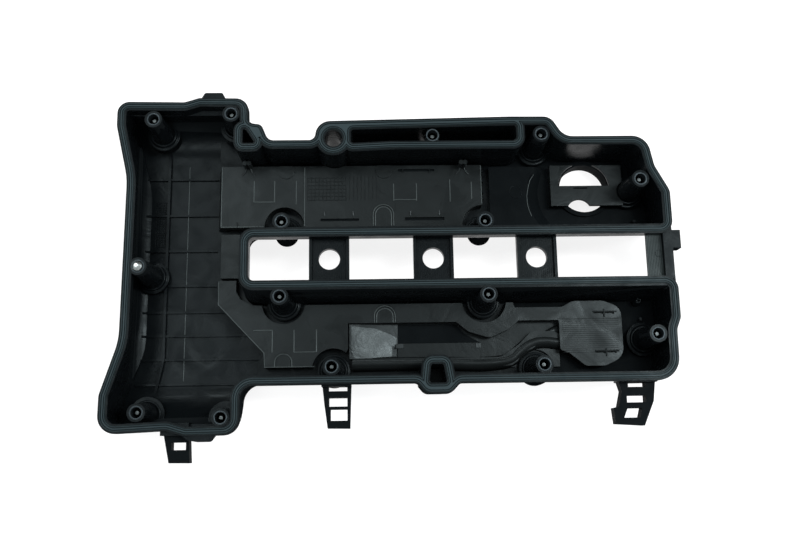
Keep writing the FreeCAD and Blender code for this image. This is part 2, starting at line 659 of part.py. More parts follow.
def separator_channel(rooms, face):
    """Floor, ledge, ridge and ramp between the separator's plate and its round end."""
    low = ROOF_DEPTH - CHANNEL_SINK
    floor = slab(rectangle(*CHANNEL).cut(rooms + [face]), ROOF_DEPTH - CHANNEL_THICK, ROOF_DEPTH)
    ledge = slab(rectangle(*LEDGE).cut(rooms), ROOF_DEPTH - LEDGE_HEIGHT, low)
    ridge = slab(rounded(RIDGE).cut(rooms), ROOF_DEPTH - RIDGE_HEIGHT, low)
    left, start, right, stop = RAMP
    foot = ROOF_DEPTH - RAMP_SINK
    ramp = along_y([(left, foot, 0), (left, ROOF_DEPTH - RAMP_LEFT_HEIGHT, 0),
                    (right, ROOF_DEPTH - RAMP_RIGHT_HEIGHT, 0), (right, foot, 0)], start, stop)
    return [floor, ledge, ridge, ramp]


def lower_baffle():
    """Oil separator cover in the lower cam chamber: plate, strip, channel and round end."""
    around = [rectangle(*LOWER_STRIP), rounded(LOWER_AROUND), rounded(LOWER_ROUND_END)]
    face = polygon(LOWER_LEFT_PLATE).fuse(around).removeSplitter()
    rooms = [disc(*bite) for bite in LOWER_BITES]
    rooms.append(rounded(TRAPEZOID).makeOffset2D(BAND + CLEARANCE))
    body = skirted(face.cut(rooms), BAFFLE_DEPTH, BAFFLE_THICK)
    cuts = slot_cuts(LOWER_SLOTS) + [arch_line(LOWER_ARCH), arch_line(LOWER_SIDE_ARCH)]
    cuts.append(printed(rectangle(*LOWER_STEP), 0.5))
    return joined([body.cut(cuts)] + separator_channel(rooms, face))


def boss_radius(depth):
    """Radius of a boss column at a depth."""
    share = (depth - BOSS_TOP_DEPTH) / (ROOF_DEPTH + WALL - BOSS_TOP_DEPTH)
    return BOSS_TOP_R + (BOSS_FOOT_R - BOSS_TOP_R) * share


def filler_guard():
    """Splash guard across the filler bore, cut clear of the boss beside it."""
    left, low, right, high = GUARD
    seen = rectangle(left, GUARD_VIEW_LOW, right, high + 10)
    view = disc(GUARD_VIEW_X, GUARD_VIEW_Y, GUARD_VIEW_R).common(seen)
    boss_x, boss_y = BOSSES[12]
    bite = disc(boss_x, boss_y, boss_radius(GUARD_DEPTH + GUARD_THICK) + CLEARANCE)
    face = rectangle(left, low, right, high).cut([view, disc(*GUARD_BITE), rectangle(*GUARD_NOTCH), bite])
    plate = slab(face, GUARD_DEPTH, GUARD_DEPTH + GUARD_THICK)
    feet = [slab(rectangle(left, low + 0.5, left + GUARD_FOOT, high), GUARD_DEPTH, ROOF_DEPTH),
            slab(rectangle(right - GUARD_FOOT, high - GUARD_FOOT_LENGTH, right, high),
                 GUARD_DEPTH, ROOF_DEPTH)]
    return joined([plate] + feet)


def cover_bolts():
    """Captive flange bolts with their tips just below the boss rings."""
    solids = []
    for x, y in boss_places():
        tip = END_BOLT_TIP_DEPTH if (x, y) == END_BOSS else BOLT_TIP_DEPTH
        under = SEAT_DEPTH + SEAL_THICK
        shank = post(x, y, BOLT_R, tip + BOLT_TIP_LENGTH, under)
        point = taper(x, y, BOLT_TIP_R, tip, BOLT_R, tip + BOLT_TIP_LENGTH)
        flange = post(x, y, BOLT_FLANGE_R, under, under + BOLT_FLANGE_THICK)
        corners = [(x + BOLT_HEAD_R * math.cos(math.radians(60 * turn)),
                    y + BOLT_HEAD_R * math.sin(math.radians(60 * turn))) for turn in range(6)]
        head = slab(polygon(corners), under + BOLT_FLANGE_THICK, under + BOLT_FLANGE_THICK + BOLT_HEAD_HEIGHT)
        solids.append(joined([shank, point, flange, head]))
    return Part.makeCompound(solids)


def bolt_sleeves():
    """Steel sleeves that carry the bolt load past the plastic."""
    solids = []
    for x, y in boss_places():
        solids.append(post(x, y, SLEEVE_R, BOSS_TOP_DEPTH, SEAT_DEPTH).cut(
            post(x, y, SLEEVE_BORE_R, BOSS_TOP_DEPTH - 1, SEAT_DEPTH + 1)))
    return Part.makeCompound(solids)


def bolt_seals():
    """Rubber washers under the bolt flanges."""
    solids = []
    for x, y in boss_places():
        solids.append(post(x, y, SEAL_R, SEAT_DEPTH, SEAT_DEPTH + SEAL_THICK).cut(
            post(x, y, SEAL_BORE_R, SEAT_DEPTH - 1, SEAT_DEPTH + SEAL_THICK + 1)))
    return Part.makeCompound(solids)


def breather_cap():
    """Snap-on cap of the breather regulator, seen on the roof side."""
    top = BREATHER_SEAT_DEPTH
    body = post(BREATHER_X, BREATHER_Y, BREATHER_SEAT_R, top, REST_DEPTH)
    hollow = post(BREATHER_X, BREATHER_Y, BREATHER_RECESS_R - 3, top - 1, REST_DEPTH - BREATHER_CAP_WALL)
    return body.cut(hollow)


def breather_diaphragm():
    """Rubber disc clamped between the seat and the cap."""
    return post(BREATHER_X, BREATHER_Y, BREATHER_RECESS_R, BREATHER_SEAT_DEPTH - DIAPHRAGM_THICK,
                BREATHER_SEAT_DEPTH)


def breather_spring():
    """Conical washer spring under the diaphragm."""
    low = BREATHER_SEAT_DEPTH - BREATHER_RECESS
    high = BREATHER_SEAT_DEPTH - DIAPHRAGM_THICK
    outer = taper(BREATHER_X, BREATHER_Y, SPRING_LOW_R, low, SPRING_HIGH_R, high)
    inner = taper(BREATHER_X, BREATHER_Y, SPRING_LOW_R - SPRING_THICK, low,
                  SPRING_HIGH_R - SPRING_THICK, high)
    return outer.cut(inner)


def main():
    """Write one file for each piece."""
    os.makedirs("parts", exist_ok=True)
    pieces = {
        "cover_shell": cover_shell(), "head_gasket": head_gasket(), "upper_baffle": upper_baffle(),
        "end_baffle": end_baffle(), "lower_baffle": lower_baffle(), "filler_guard": filler_guard(),
        "cover_bolts": cover_bolts(), "bolt_sleeves": bolt_sleeves(), "bolt_seals": bolt_seals(),
        "breather_cap": breather_cap(), "breather_diaphragm": breather_diaphragm(),
        "breather_spring": breather_spring(),
    }
    for name, shape in pieces.items():
        box = shape.BoundBox
        print(name, shape.ShapeType, shape.isValid(), len(shape.Solids), round(shape.Volume / 1000, 2),
              [round(v, 1) for v in (box.XMin, box.XMax, box.YMin, box.YMax, box.ZMin, box.ZMax)])
        shape.exportStep("parts/" + name + ".step")


main()
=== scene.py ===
import math

import bmesh
import bpy
from mathutils import Matrix, Vector
from mathutils.bvhtree import BVHTree

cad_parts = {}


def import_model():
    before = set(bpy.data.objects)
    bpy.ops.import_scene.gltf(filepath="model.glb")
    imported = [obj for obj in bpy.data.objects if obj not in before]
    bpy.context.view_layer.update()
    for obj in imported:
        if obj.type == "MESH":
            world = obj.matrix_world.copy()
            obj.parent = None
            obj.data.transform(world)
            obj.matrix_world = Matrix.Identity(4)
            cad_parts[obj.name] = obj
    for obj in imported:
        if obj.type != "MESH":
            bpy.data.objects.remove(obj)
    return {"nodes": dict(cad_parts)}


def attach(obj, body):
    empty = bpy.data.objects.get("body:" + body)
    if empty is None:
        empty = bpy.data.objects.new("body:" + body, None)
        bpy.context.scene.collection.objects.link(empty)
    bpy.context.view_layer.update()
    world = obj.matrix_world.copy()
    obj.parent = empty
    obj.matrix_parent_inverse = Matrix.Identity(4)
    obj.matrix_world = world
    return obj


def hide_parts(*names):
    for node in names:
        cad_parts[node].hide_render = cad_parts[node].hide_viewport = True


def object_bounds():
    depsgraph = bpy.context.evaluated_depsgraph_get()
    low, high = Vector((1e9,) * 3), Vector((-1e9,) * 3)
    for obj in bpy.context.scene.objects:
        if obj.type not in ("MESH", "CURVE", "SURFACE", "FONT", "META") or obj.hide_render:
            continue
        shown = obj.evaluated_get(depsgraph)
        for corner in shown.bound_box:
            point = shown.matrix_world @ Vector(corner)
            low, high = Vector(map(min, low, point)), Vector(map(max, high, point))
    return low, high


# Looks of a moulded engine valve cover that lies on its roof, seen from above its open side.
# Lengths are in millimetres and turned into metres by MM.
# Depths are measured down from the sealing plane.

MM = 0.001
SEALING_HEIGHT = 10.0

# Camera, with its place in millimetres and its angles in degrees
IMAGE_WIDTH = 800
FOCAL_PIXELS = 876.0
SENSOR_WIDTH = 36.0
CAMERA_PLACE = (-44.22, -137.05, 642.75)
CAMERA_TILT = 11.5
CAMERA_ROLL = 1.0
CAMERA_YAW = -1.7

# Colours as linear red, green and blue
COVER_COLOUR = (0.0022, 0.0030, 0.0035, 1)
OUTER_COLOUR = (0.0060, 0.0075, 0.0082, 1)
# Painted reflection of a lamp on the end web
END_WEB_SHEEN_COLOUR = (0.0160, 0.0210, 0.0210, 1)
BAFFLE_COLOUR = (0.0050, 0.0062, 0.0064, 1)
# Painted highlight on the raised lines and edges, lighter than the plates
LINE_HIGHLIGHT_COLOUR = (0.0300, 0.0370, 0.0370, 1)
CAP_COLOUR = (0.0030, 0.0040, 0.0045, 1)
GASKET_COLOUR = (0.0125, 0.0200, 0.0225, 1)
# Painted shade in the grooves between the seal's beads
GROOVE_SHADE_COLOUR = (0.0030, 0.0050, 0.0055, 1)
DIAPHRAGM_COLOUR = (0.012, 0.012, 0.012, 1)
BOLT_COLOUR = (0.010, 0.012, 0.013, 1)
# Painted glint near the bolts' tips
BOLT_TIP_GLINT_COLOUR = (0.036, 0.043, 0.044, 1)
BARE_STEEL_COLOUR = (0.42, 0.47, 0.47, 1)
SLEEVE_COLOUR = (0.016, 0.021, 0.024, 1)
SPRING_COLOUR = (0.45, 0.46, 0.47, 1)
GLOSS_TINT = (0.84, 1.0, 1.04, 1)
FLOOR_COLOUR = (0.78, 0.78, 0.78, 1)
FLOOR_LIT_COLOUR = (0.25, 0.25, 0.25, 1)
FLOOR_GLOW = 0.84
WORLD_COLOUR = (0.9, 0.95, 1.0, 1)
WORLD_STRENGTH = 0.55
WHITE = (1, 1, 1, 1)

# Noise in the surfaces: slow changes of tone, clouds of gloss and a fine grain
TONE_SCALE = 22.0
TONE_DETAIL = 4.0
CLOUD_SCALE = 48.0
CLOUD_DETAIL = 5.0
CLOUD_DISTORTION = 1.2
CLOUD_LOW = 0.3
CLOUD_HIGH = 0.7
SMOOTHER = 0.08
ROUGHER = 0.14
GRAIN_DETAIL = 2.0
GRAIN_STRENGTH = 0.35
WAVE_STRENGTH = 0.5
WAVE_HEIGHT = 0.6

# Edges, with angles in degrees
WELD_REACH = 0.005
BEVEL_ANGLE = 38
BEVEL_SEGMENTS = 2
SMOOTH_ANGLE = 32

# Depths where the bolts' tips get a painted glint and bare steel, and where painted shade darkens the
# seal's grooves
TIP_GLINT_DEPTH = 4.5
BARE_DEPTH = 4.0
GROOVE_DEPTH = 0.45

# Depths of the housing
RIM_TOP = 0.8
FLANGE_FOOT = 6.0
WEB_TOP = 10.0
END_WEB_TOP = 7.0
VALLEY_DEPTH = 14.0
BAFFLE_TOP = 32.0
DECK = 38.0
ROOF = 44.0
TIMING_ROOF = 51.0

# Places in the plan of the housing
CYLINDER_PITCH = 78.0
VALLEY_LEFT_END = -146.5
VALLEY_LOW = -26.5
VALLEY_HIGH = 24.8
WEB_LOW = -16.8
WEB_HIGH = 15.0
WEB_HALF = 12.2
WEB_HOLE_RADIUS = 9.2

# Least and greatest x, least and greatest y of what stands inside each chamber
TIMING_LIMITS = (-231.5, -146.5, -121.0, 116.5)
TIMING_LIMIT_X = -134.0
UPPER_LIMITS = (-200.0, 172.0, 24.8, 103.0)
LOWER_LIMITS = (-200.0, 172.0, -88.8, -26.6)

# Bosses as x, y and the depth of the roof at their foot
BOSSES = [
    (-210.7, 108.1, 41.4), (-152.2, 112.3, 36.0), (-214.5, -111.6, 38.8), (-155.0, -116.0, 35.0),
    (-113.3, 27.4, 44.0), (-114.2, -29.1, 44.0), (-76.1, -81.0, 44.0), (39.2, 26.8, 44.0),
    (39.7, -29.3, 44.0), (78.4, -81.5, 44.0), (84.5, 94.3, 44.0), (158.5, 58.0, 44.0),
    (163.2, -60.2, 44.0), (-217.8, -5.6, 51.0),
]
COLUMN_REACH = 12.5
COLLAR_RADIUS = 12.8
COLLAR_HEIGHT = 5.0
COLLAR_BORE = 8.0
COLLAR_STEP = 2.6

# Edge of a collar as steps outwards from its radius and down from its top
COLLAR_EDGE = ((0.05, 2.0), (0.05, 0.5), (-0.2, -0.1), (-0.9, -0.25), (-2.0, -0.2), (-2.3, -0.6),
               (-2.4, -2.0), (-2.7, -2.5), (-3.3, -2.6))

# Beads of the seal as steps inwards and rises in shares of a bead's height
BEAD_HEIGHT = 0.9
BEAD_STEPS = ((0.45, 0.0), (0.3, 1.0), (0.35, 0.0), (0.3, -1.0), (0.3, 0.0), (0.25, 0.8))

# Radii of the fine rods that draw lines and grilles
WITNESS_RADIUS = 0.38
GRILLE_RADIUS = 0.28
TEXTURE_RADIUS = 0.12
WEB_LINE_RADIUS = 0.14

# Studs of the upper baffle
STUD_PLACES = ((-142.5, 79.5), (26.0, 79.0))
STUD_TOP = 21.0
STUD_SPLIT = 1.6

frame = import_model()
cad_low, cad_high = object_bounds()


def at(depth):
    """Height in millimetres of a depth below the sealing plane."""
    return SEALING_HEIGHT - depth


# Materials

def noise(nodes, links, place, scale, detail, distortion=0.0):
    """Noise over the object's own coordinates."""
    made = nodes.new("ShaderNodeTexNoise")
    made.inputs["Scale"].default_value = scale
    made.inputs["Detail"].default_value = detail
    made.inputs["Distortion"].default_value = distortion
    links.new(place.outputs["Object"], made.inputs["Vector"])
    return made.outputs["Fac"]


def bump(nodes, links, height, strength, distance):
    """Bump that follows a noise."""
    made = nodes.new("ShaderNodeBump")
    made.inputs["Strength"].default_value = strength
    made.inputs["Distance"].default_value = distance * MM
    links.new(height, made.inputs["Height"])
    return made


def mix_colours(nodes, links, factor, first, second):
    """Go from the first colour to the second as the factor goes from zero to one."""
    made = nodes.new("ShaderNodeMix")
    made.data_type = "RGBA"
    made.inputs["A"].default_value = first
    made.inputs["B"].default_value = second
    links.new(factor, made.inputs["Factor"])
    return made


def plastic(name, colour, rough, grain, grain_height, metal=0.0, blotch=0.25, level=0.5):
    """A surface with a fine moulded grain and slow changes of gloss and tone."""
    material = bpy.data.materials.new(name)
    material.use_nodes = True
    nodes = material.node_tree.nodes
    links = material.node_tree.links
    shader = nodes["Principled BSDF"]
    shader.inputs["Metallic"].default_value = metal
    shader.inputs["Specular IOR Level"].default_value = level
    shader.inputs["Specular Tint"].default_value = GLOSS_TINT
    place = nodes.new("ShaderNodeTexCoord")
    slow = noise(nodes, links, place, TONE_SCALE, TONE_DETAIL)
    cloud = noise(nodes, links, place, CLOUD_SCALE, CLOUD_DETAIL, CLOUD_DISTORTION)
    fine = noise(nodes, links, place, grain, GRAIN_DETAIL)
    gloss = nodes.new("ShaderNodeMapRange")
    gloss.inputs["From Min"].default_value = CLOUD_LOW
    gloss.inputs["From Max"].default_value = CLOUD_HIGH
    gloss.inputs["To Min"].default_value = rough - SMOOTHER
    gloss.inputs["To Max"].default_value = rough + ROUGHER
    links.new(cloud, gloss.inputs["Value"])
    links.new(gloss.outputs["Result"], shader.inputs["Roughness"])
    darker = [value * (1 - blotch) for value in colour[:3]] + [1]
    lighter = [value * (1 + blotch) for value in colour[:3]] + [1]
    tone = mix_colours(nodes, links, slow, darker, lighter)
    links.new(tone.outputs["Result"], shader.inputs["Base Color"])
    grains = bump(nodes, links, fine, GRAIN_STRENGTH, grain_height)
    waves = bump(nodes, links, cloud, WAVE_STRENGTH, WAVE_HEIGHT)
    links.new(waves.outputs["Normal"], grains.inputs["Normal"])
    links.new(grains.outputs["Normal"], shader.inputs["Normal"])
    return material


COVER = plastic("cover_plastic", COVER_COLOUR, 0.25, 900.0, 0.10, level=0.045)
BAFFLE = plastic("baffle_plastic", BAFFLE_COLOUR, 0.28, 1100.0, 0.10, level=0.075)
POLISHED = plastic("polished_plastic", BAFFLE_COLOUR, 0.24, 1100.0, 0.04, level=0.20)
OUTER = plastic("textured_plastic", OUTER_COLOUR, 0.7, 700.0, 0.2, level=0.0)
DULL = plastic("dull_plastic", COVER_COLOUR, 0.55, 900.0, 0.10, level=0.02)
COLUMN = plastic("column_plastic", COVER_COLOUR, 0.2, 900.0, 0.05, level=0.16)
# Lighter colour on the end web: a painted reflection
END_WEB_SHEEN = plastic("end_web_sheen_plastic", END_WEB_SHEEN_COLOUR, 0.4, 900.0, 0.15, level=0.12)
CAP = plastic("cap_plastic", CAP_COLOUR, 0.35, 900.0, 0.12, level=0.12)
GASKET = plastic("gasket_rubber", GASKET_COLOUR, 0.42, 1400.0, 0.05, blotch=0.12, level=0.10)
RIBBED = plastic("ribbed_rubber", GASKET_COLOUR, 0.42, 1400.0, 0.05, blotch=0.12, level=0.10)
# Lighter colour of the lines: a painted highlight
WITNESS_HIGHLIGHT = plastic("witness_highlight_plastic", LINE_HIGHLIGHT_COLOUR, 0.35, 1100.0, 0.04, level=0.20)
DIAPHRAGM = plastic("diaphragm_rubber", DIAPHRAGM_COLOUR, 0.6, 1200.0, 0.05)
BOLT = plastic("bolt_steel", BOLT_COLOUR, 0.32, 1500.0, 0.03, metal=1.0, blotch=0.1)
SLEEVE = plastic("sleeve_steel", SLEEVE_COLOUR, 0.34, 1500.0, 0.03, metal=0.6, blotch=0.1, level=0.2)
SPRING = plastic("spring_steel", SPRING_COLOUR, 0.25, 1500.0, 0.02, metal=1.0, blotch=0.05)


def height_tests(material, operation, heights):
    """One for each height where the surface lies on the tested side of it, else zero."""
    nodes = material.node_tree.nodes
    links = material.node_tree.links
    place = nodes.new("ShaderNodeTexCoord")
    parts = nodes.new("ShaderNodeSeparateXYZ")
    links.new(place.outputs["Object"], parts.inputs["Vector"])
    tests = []
    for height in heights:
        test = nodes.new("ShaderNodeMath")
        test.operation = operation
        test.inputs[1].default_value = height * MM
        links.new(parts.outputs["Z"], test.inputs[0])
        tests.append(test.outputs[0])
    return tests


def glint_and_bare_tips(material):
    """Paint a glint on the bolt steel by making it lighter near the tips, and make it bare at the very
    end.
    """
    nodes = material.node_tree.nodes
    links = material.node_tree.links
    near, end = height_tests(material, "GREATER_THAN", [at(TIP_GLINT_DEPTH), at(BARE_DEPTH)])
    tip = mix_colours(nodes, links, near, BOLT_COLOUR, BOLT_TIP_GLINT_COLOUR)
    bare = mix_colours(nodes, links, end, BOLT_COLOUR, BARE_STEEL_COLOUR)
    links.new(tip.outputs["Result"], bare.inputs["A"])
    links.new(bare.outputs["Result"], nodes["Principled BSDF"].inputs["Base Color"])


def dark_below(material, height, colour):
    """Darken a material below a height: painted shade in its grooves."""
    nodes = material.node_tree.nodes
    links = material.node_tree.links
    below = height_tests(material, "LESS_THAN", [height])[0]
    base = nodes["Principled BSDF"].inputs["Base Color"]
    tone = mix_colours(nodes, links, below, colour, colour)
    links.new(base.links[0].from_socket, tone.inputs["A"])
    links.new(tone.outputs["Result"], base)


# Painted shade in the seal's grooves
dark_below(RIBBED, at(GROOVE_DEPTH), GROOVE_SHADE_COLOUR)
# Painted glint on the bolts' tips, bare steel at the very end
glint_and_bare_tips(BOLT)

NODE_MATERIALS = {
    "cover_shell": COVER, "head_gasket": GASKET, "upper_baffle": BAFFLE, "end_baffle": BAFFLE,
    "lower_baffle": BAFFLE, "filler_guard": BAFFLE, "cover_bolts": BOLT, "bolt_sleeves": SLEEVE,
    "bolt_seals": GASKET, "breather_cap": CAP, "breather_diaphragm": DIAPHRAGM, "breather_spring": SPRING,
}
NODE_BEVELS = {
    "cover_shell": 0.45, "upper_baffle": 0.4, "end_baffle": 0.4, "lower_baffle": 0.5,
    "filler_guard": 0.3, "cover_bolts": 0.25, "bolt_sleeves": 0.25, "breather_cap": 0.6,
}

# Places on the shell with their own finish: material, left, low, right, high and the depth it starts at
# The end web's place gets a lighter colour, a painted reflection
FINISH_PLACES = [
    (DULL, -199.0, -149.0, -176.0, -127.5, FLANGE_FOOT), (DULL, -84.5, -127.0, -61.0, -93.5, FLANGE_FOOT),
    (DULL, 128.0, -127.0, 162.0, -93.5, FLANGE_FOOT), (DULL, 48.5, 26.0, 172.0, 92.0, 32.0),
    (DULL, 97.0, -92.0, 172.0, -28.0, 40.0), (END_WEB_SHEEN, 152.0, -26.0, 174.0, 24.0, FLANGE_FOOT),
]


def set_material(obj, material):
    """Give an object one material on its own slot."""
    if not obj.material_slots:
        obj.data.materials.append(material)
    for slot in obj.material_slots:
        slot.link = "OBJECT"
        slot.material = material


def smooth_nodes():
    """Node group that shades faces smoothly and keeps the edges above an angle sharp."""
    group = bpy.data.node_groups.new("smooth_by_angle", "GeometryNodeTree")
    group.interface.new_socket("Geometry", in_out="INPUT", socket_type="NodeSocketGeometry")
    group.interface.new_socket("Geometry", in_out="OUTPUT", socket_type="NodeSocketGeometry")
    start = group.nodes.new("NodeGroupInput")
    end = group.nodes.new("NodeGroupOutput")
    angle = group.nodes.new("GeometryNodeInputMeshEdgeAngle")
    steep = group.nodes.new("FunctionNodeCompare")
    steep.operation = "GREATER_THAN"
    steep.inputs[1].default_value = math.radians(SMOOTH_ANGLE)
    faces = group.nodes.new("GeometryNodeSetShadeSmooth")
    faces.domain = "FACE"
    faces.inputs["Shade Smooth"].default_value = True
    edges = group.nodes.new("GeometryNodeSetShadeSmooth")
    edges.domain = "EDGE"
    edges.inputs["Shade Smooth"].default_value = False
    group.links.new(start.outputs[0], faces.inputs[0])
    group.links.new(faces.outputs[0], edges.inputs[0])
    group.links.new(angle.outputs["Unsigned Angle"], steep.inputs[0])
    group.links.new(steep.outputs[0], edges.inputs["Selection"])
    group.links.new(edges.outputs[0], end.inputs[0])
    return group


SMOOTH_GROUP = smooth_nodes()


def soften(obj, width):
    """Weld the mesh, round its sharp edges a little and shade its curves smoothly."""
    weld = obj.modifiers.new("weld", "WELD")
    weld.merge_threshold = WELD_REACH * MM
    bevel = obj.modifiers.new("bevel", "BEVEL")
    bevel.width = width * MM
    bevel.segments = BEVEL_SEGMENTS
    bevel.limit_method = "ANGLE"
    bevel.angle_limit = math.radians(BEVEL_ANGLE)
    smooth = obj.modifiers.new("smooth", "NODES")
    smooth.node_group = SMOOTH_GROUP
    weighted = obj.modifiers.new("weighted", "WEIGHTED_NORMAL")
    weighted.keep_sharp = True


for name, obj in frame["nodes"].items():
    set_material(obj, NODE_MATERIALS[name])
    if name in NODE_BEVELS:
        soften(obj, NODE_BEVELS[name])


# Finish of the shell: matt outside, smooth inside, other finishes in places, and a painted reflection on
# the end web

def finish_shell():
    """Give each face of the shell the material of its side and place."""
    obj = frame["nodes"]["cover_shell"]
    mesh = obj.data
    tree = BVHTree.FromPolygons([vertex.co for vertex in mesh.vertices],
                                [list(face.vertices) for face in mesh.polygons])
    index = {}
    for material in (OUTER, DULL, END_WEB_SHEEN, COLUMN):
        mesh.materials.append(None)
        obj.material_slots[-1].link = "OBJECT"
        obj.material_slots[-1].material = material
        index[material.name] = len(obj.material_slots) - 1
    ray_start = 0.05
    steepest_level = 0.5
    for face in mesh.polygons:
        x, y, z = [value / MM for value in face.center]
        level_face = abs(face.normal.z) > steepest_level
        in_valley = x > VALLEY_LEFT_END and VALLEY_LOW < y < VALLEY_HIGH and z < at(VALLEY_DEPTH)
        start = face.center + face.normal * ray_start * MM
        free = tree.ray_cast(start, face.normal)[0] is None
        if not level_face and z < at(RIM_TOP) and (free or in_valley):
            face.material_index = index[OUTER.name]
        if level_face and face.normal.z < 0:
            face.material_index = index[OUTER.name]
        for material, left, low, right, high, depth in FINISH_PLACES:
            if left < x < right and low < y < high and z < at(depth):
                face.material_index = index[material.name]
        for boss_x, boss_y, foot in BOSSES:
            near = math.hypot(x - boss_x, y - boss_y) < COLUMN_REACH
            if near and not level_face and at(foot) < z and face.material_index == 0:
                face.material_index = index[COLUMN.name]


finish_shell()


# Ribbed rubber seal: the flat top of the solid gets three beads

def ribbed_seal():
    """Copy of the seal whose top face is pulled into beads."""
    source = frame["nodes"]["head_gasket"]
    mesh = source.data.copy()
    mesh.name = "ribbed_seal"
    work = bmesh.new()
    work.from_mesh(mesh)
    bmesh.ops.remove_doubles(work, verts=work.verts, dist=WELD_REACH * MM)
    top = max(vertex.co.z for vertex in work.verts)
    same_height = 0.01 * MM
    faces = [face for face in work.faces if all(abs(v.co.z - top) < same_height for v in face.verts)]
    for vertex in {v for face in faces for v in face.verts}:
        vertex.co.z -= BEAD_HEIGHT * MM
    for thickness, rise in BEAD_STEPS:
        bmesh.ops.inset_region(work, faces=faces, thickness=thickness * MM, use_even_offset=True)
        for vertex in {v for face in faces for v in face.verts}:
            vertex.co.z += rise * BEAD_HEIGHT * MM
    work.to_mesh(mesh)
    work.free()
    obj = bpy.data.objects.new("ribbed_seal", mesh)
    bpy.context.scene.collection.objects.link(obj)
    set_material(obj, RIBBED)
    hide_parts("head_gasket")
    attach(obj, "root")


ribbed_seal()


# Tools for small mouldings

def belong(obj, material):
    """Make a new object a dressed piece of the cover."""
    bpy.context.scene.collection.objects.link(obj)
    set_material(obj, material)
    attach(obj, "root")


def keep(name, work, material, smooth=False):
    """Turn a bmesh into a piece that belongs to the cover."""
    mesh = bpy.data.meshes.new(name)
    bmesh.ops.recalc_face_normals(work, faces=work.faces)
    work.to_mesh(mesh)
    work.free()
    for face in mesh.polygons:
        face.use_smooth = smooth
    belong(bpy.data.objects.new(name, mesh), material)


def add_plate(work, corners, thick):
    """Thin plate under corners given as x, y and depth."""
    high = [work.verts.new((x * MM, y * MM, at(depth) * MM)) for x, y, depth in corners]
    low = [work.verts.new((x * MM, y * MM, at(depth + thick) * MM)) for x, y, depth in corners]
    work.faces.new(high)
    work.faces.new(list(reversed(low)))
    count = len(corners)
    for index in range(count):
        after = (index + 1) % count
        work.faces.new((low[index], low[after], high[after], high[index]))


def add_box(work, left, low, right, high, top, bottom):
    """Box between two depths."""
    corners = [(left, low, top), (right, low, top), (right, high, top), (left, high, top)]
    add_plate(work, corners, bottom - top)


def circle(x, y, radius, count=24, start=0.0, turn=360.0):
    """Points round a circle or part of one."""
    steps = count if turn == 360.0 else count + 1
    angles = [math.radians(start + turn * index / count) for index in range(steps)]
    return [(x + radius * math.cos(angle), y + radius * math.sin(angle)) for angle in angles]


def chamber_limits(x, y):
    """Least and greatest x and y that stay inside the walls round a boss."""
    if x < TIMING_LIMIT_X:
        return TIMING_LIMITS
    return UPPER_LIMITS if y > 0 else LOWER_LIMITS


def lathe(work, x, y, profile, count=48):
    """Closed ring turned about an upright axis, kept inside the walls of its chamber."""
    left, right, low, high = chamber_limits(x, y)
    loops = []
    for radius, depth in profile:
        loops.append([work.verts.new((min(max(px, left), right) * MM, min(max(py, low), high) * MM,
                                      at(depth) * MM)) for px, py in circle(x, y, radius, count)])
    for outer, inner in zip(loops, loops[1:] + loops[:1]):
        for index in range(count):
            after = (index + 1) % count
            work.faces.new((outer[index], outer[after], inner[after], inner[index]))


def rod_curve(name, radius, resolution):
    """Empty curve that makes round rods with closed ends."""
    curve = bpy.data.curves.new(name, "CURVE")
    curve.dimensions = "3D"
    curve.bevel_depth = radius * MM
    curve.bevel_resolution = resolution
    curve.use_fill_caps = True
    return curve


def beads(name, lines, radius, material):
    """Thin half sunk rods along lines of points given as x, y and depth."""
    curve = rod_curve(name, radius, 2)
    for points in lines:
        spline = curve.splines.new("POLY")
        spline.points.add(len(points) - 1)
        for target, (x, y, depth) in zip(spline.points, points):
            target.co = (x * MM, y * MM, at(depth) * MM, 1)
    belong(bpy.data.objects.new(name, curve), material)


def upright(x, low, high, depth):
    """Line along y."""
    return [(x, low, depth), (x, high, depth)]


def level(y, left, right, depth):
    """Line along x."""
    return [(left, y, depth), (right, y, depth)]


def ring_line(x, y, radius, count, depth):
    """Line round a whole circle."""
    return [(px, py, depth) for px, py in circle(x, y, radius, count)] + [(x + radius, y, depth)]


def arch_line(x, low, width, height, depth):
    """Line up one side, round the top and down the other side of an arch."""
    half = width / 2
    top = [(px, py, depth) for px, py in circle(x, low + height - half, half, 12, 180.0, -180.0)]
    return [(x - half, low, depth)] + top + [(x + half, low, depth)]


# Small mouldings on the baffles

